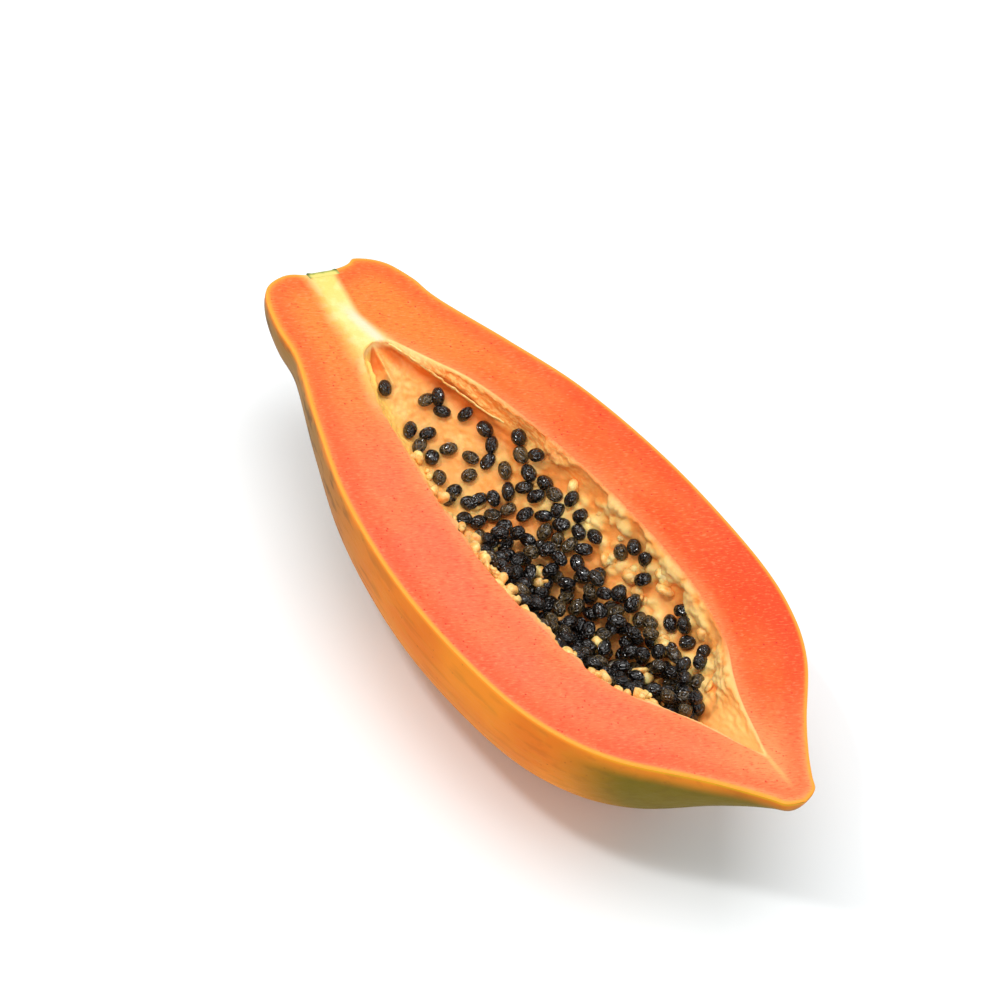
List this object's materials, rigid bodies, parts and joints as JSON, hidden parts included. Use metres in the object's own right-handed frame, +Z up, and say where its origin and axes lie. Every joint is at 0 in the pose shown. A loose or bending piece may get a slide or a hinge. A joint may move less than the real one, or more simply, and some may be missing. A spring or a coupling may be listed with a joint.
{
  "type": "papaya half",
  "caption": "Half of a ripe papaya cut lengthwise, lying on its skin, with an open hollow that holds a bunch of black seeds.",
  "frame": {"origin": "on the surface the half lies on, under the middle of its box", "axes": "+X along the fruit from the stem end to the blossom tip, +Z up out of the cut face"},
  "size_m": [0.2566, 0.1142, 0.0629],
  "materials": {
    "flesh_and_skin": "moist",
    "seed": "glossy"
  },
  "bodies": {
    "root": {"papaya_half": "flesh_and_skin", "seed_bunch": "seed"}
  },
  "joints": []
}
